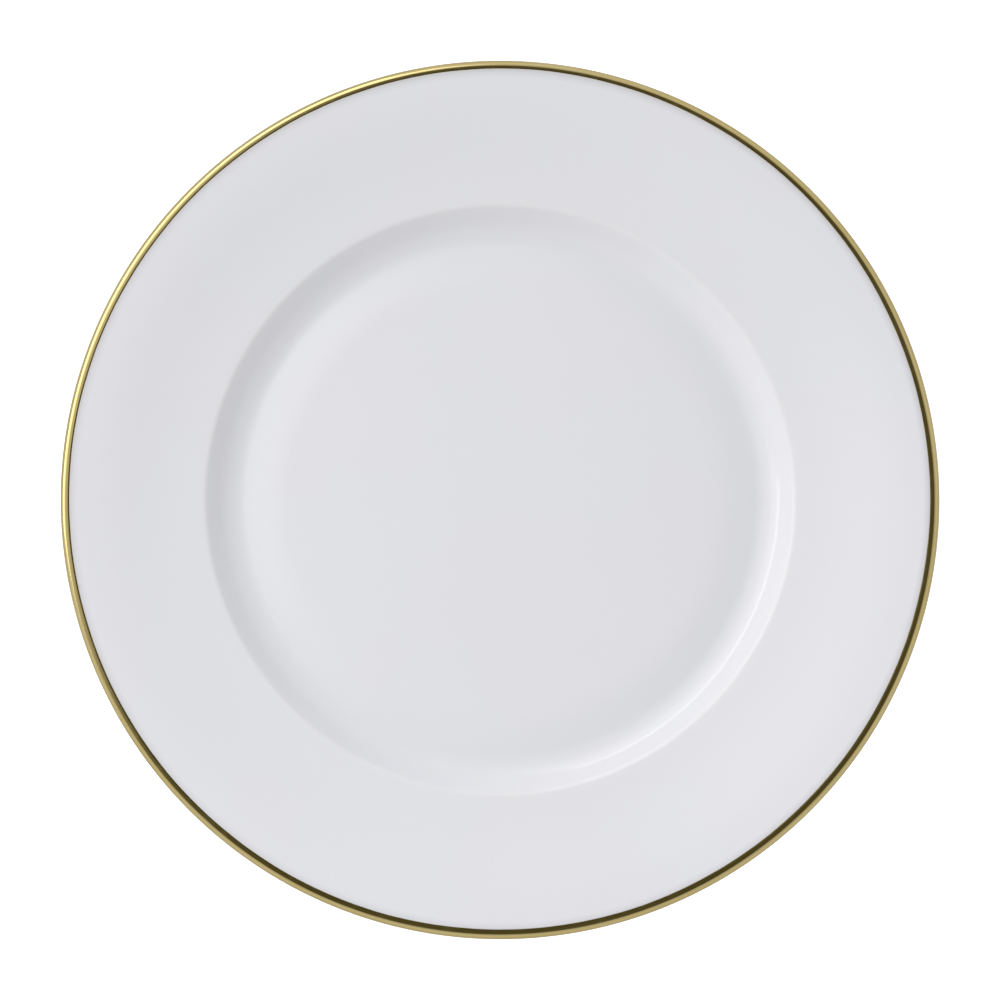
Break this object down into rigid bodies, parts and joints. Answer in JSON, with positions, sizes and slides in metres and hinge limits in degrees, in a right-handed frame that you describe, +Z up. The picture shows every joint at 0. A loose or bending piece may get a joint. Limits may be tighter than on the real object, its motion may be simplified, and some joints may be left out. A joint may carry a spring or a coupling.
{
  "type": "dinner plate",
  "caption": "Round white china dinner plate with a level well, a steep verge, a wide sloping rim, a thin gilded lip and a foot ring.",
  "frame": {"origin": "centre of the plane that the foot ring stands on", "axes": "+Z up along the axis of the plate, out of the eating face; +X and +Y across it, and seen from straight above with +Y up the picture +X is to the right"},
  "size_m": [0.27, 0.27, 0.0197],
  "materials": {
    "fired_china": "matte",
    "clear_glaze": "gloss",
    "gilding": "polished"
  },
  "bodies": {
    "root": {"china_body": "fired_china", "glaze_coat": "clear_glaze", "recess_glaze": "clear_glaze", "gold_band": "gilding"}
  },
  "joints": []
}
